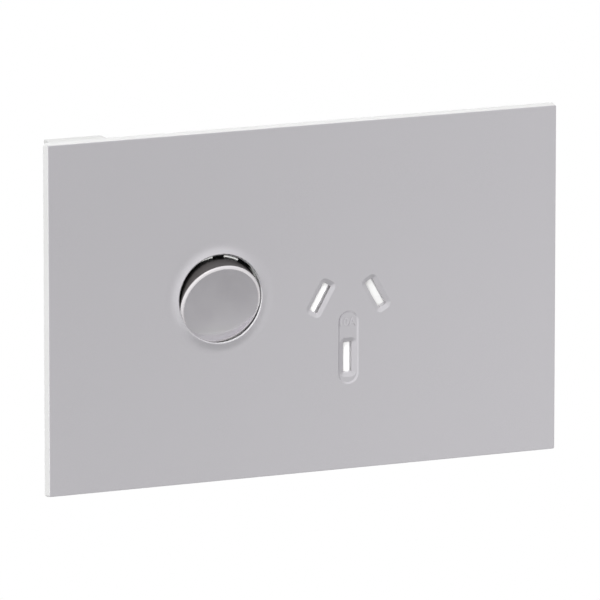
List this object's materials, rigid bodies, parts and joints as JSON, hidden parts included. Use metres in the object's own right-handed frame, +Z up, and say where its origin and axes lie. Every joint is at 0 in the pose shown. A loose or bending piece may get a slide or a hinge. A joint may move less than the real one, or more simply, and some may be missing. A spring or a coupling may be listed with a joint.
{
  "type": "single power outlet",
  "caption": "Flush wall power outlet with a thin silver plate, a round tilting rocker switch and a shuttered three-pin flat-blade socket, on a mounting frame with a rear housing.",
  "frame": {"origin": "on the wall plane, midway between the two fixing screw slots", "axes": "+X right and +Z up as seen from the front, +Y into the wall"},
  "size_m": [0.1258, 0.0355, 0.0808],
  "materials": {
    "silver_plate": "satin silver coat on a white moulding",
    "white_plastic": "plain moulded",
    "chrome": "bright plated",
    "nylon": "plain moulded",
    "black_rubber": "matt",
    "housing_plastic": "fine moulded texture",
    "brass": "rolled strip",
    "silver_tip": "bright",
    "steel": "zinc plated",
    "spring_steel": "drawn wire"
  },
  "bodies": {
    "outlet": {"cover_plate": "silver_plate", "base_frame": "white_plastic", "rear_housing": "housing_plastic", "housing_screws": "steel", "contact_cradle": "brass", "fixed_contact": "brass", "fixed_contact_tip": "silver_tip", "active_contact": "brass", "neutral_contact": "brass", "earth_contact": "brass", "active_terminal": "brass", "loop_terminal": "brass", "neutral_terminal": "brass", "earth_terminal": "brass", "terminal_screws": "steel", "shutter_spring": "spring_steel"},
    "rocker": {"rocker_cap": "chrome", "rocker_carrier": "nylon", "rocker_buffers": "black_rubber", "rocker_spring": "spring_steel"},
    "plunger": {"rocker_plunger": "nylon"},
    "blade": {"moving_contact": "brass", "moving_contact_tip": "silver_tip"},
    "shutter": {"shutter_slider": "nylon"}
  },
  "joints": [
    {"name": "rocker_tilt", "type": "hinge", "parent": "outlet", "child": "rocker", "pos_m": [-0.021, -0.0023, 0.002], "axis": [1, 0, 0], "range_deg": [-34, 0]},
    {"name": "plunger_slide", "type": "slide", "parent": "rocker", "child": "plunger", "axis": [0, -0.9563, -0.2924], "range_m": [0, 0.0008], "stiffness_N_per_m": 400, "deforming": ["rocker_spring"]},
    {"name": "blade_rock", "type": "hinge", "parent": "outlet", "child": "blade", "pos_m": [-0.021, 0.0073, 0.002], "axis": [1, 0, 0], "range_deg": [-0.5, 12.5]},
    {"name": "shutter_slide", "type": "slide", "parent": "outlet", "child": "shutter", "axis": [1, 0, 0], "range_m": [0, 0.0032], "stiffness_N_per_m": 200, "deforming": ["shutter_spring"]}
  ],
  "couplings": [
    {"joint": "blade_rock", "follows": "rocker_tilt", "ratio": -0.35294}
  ]
}
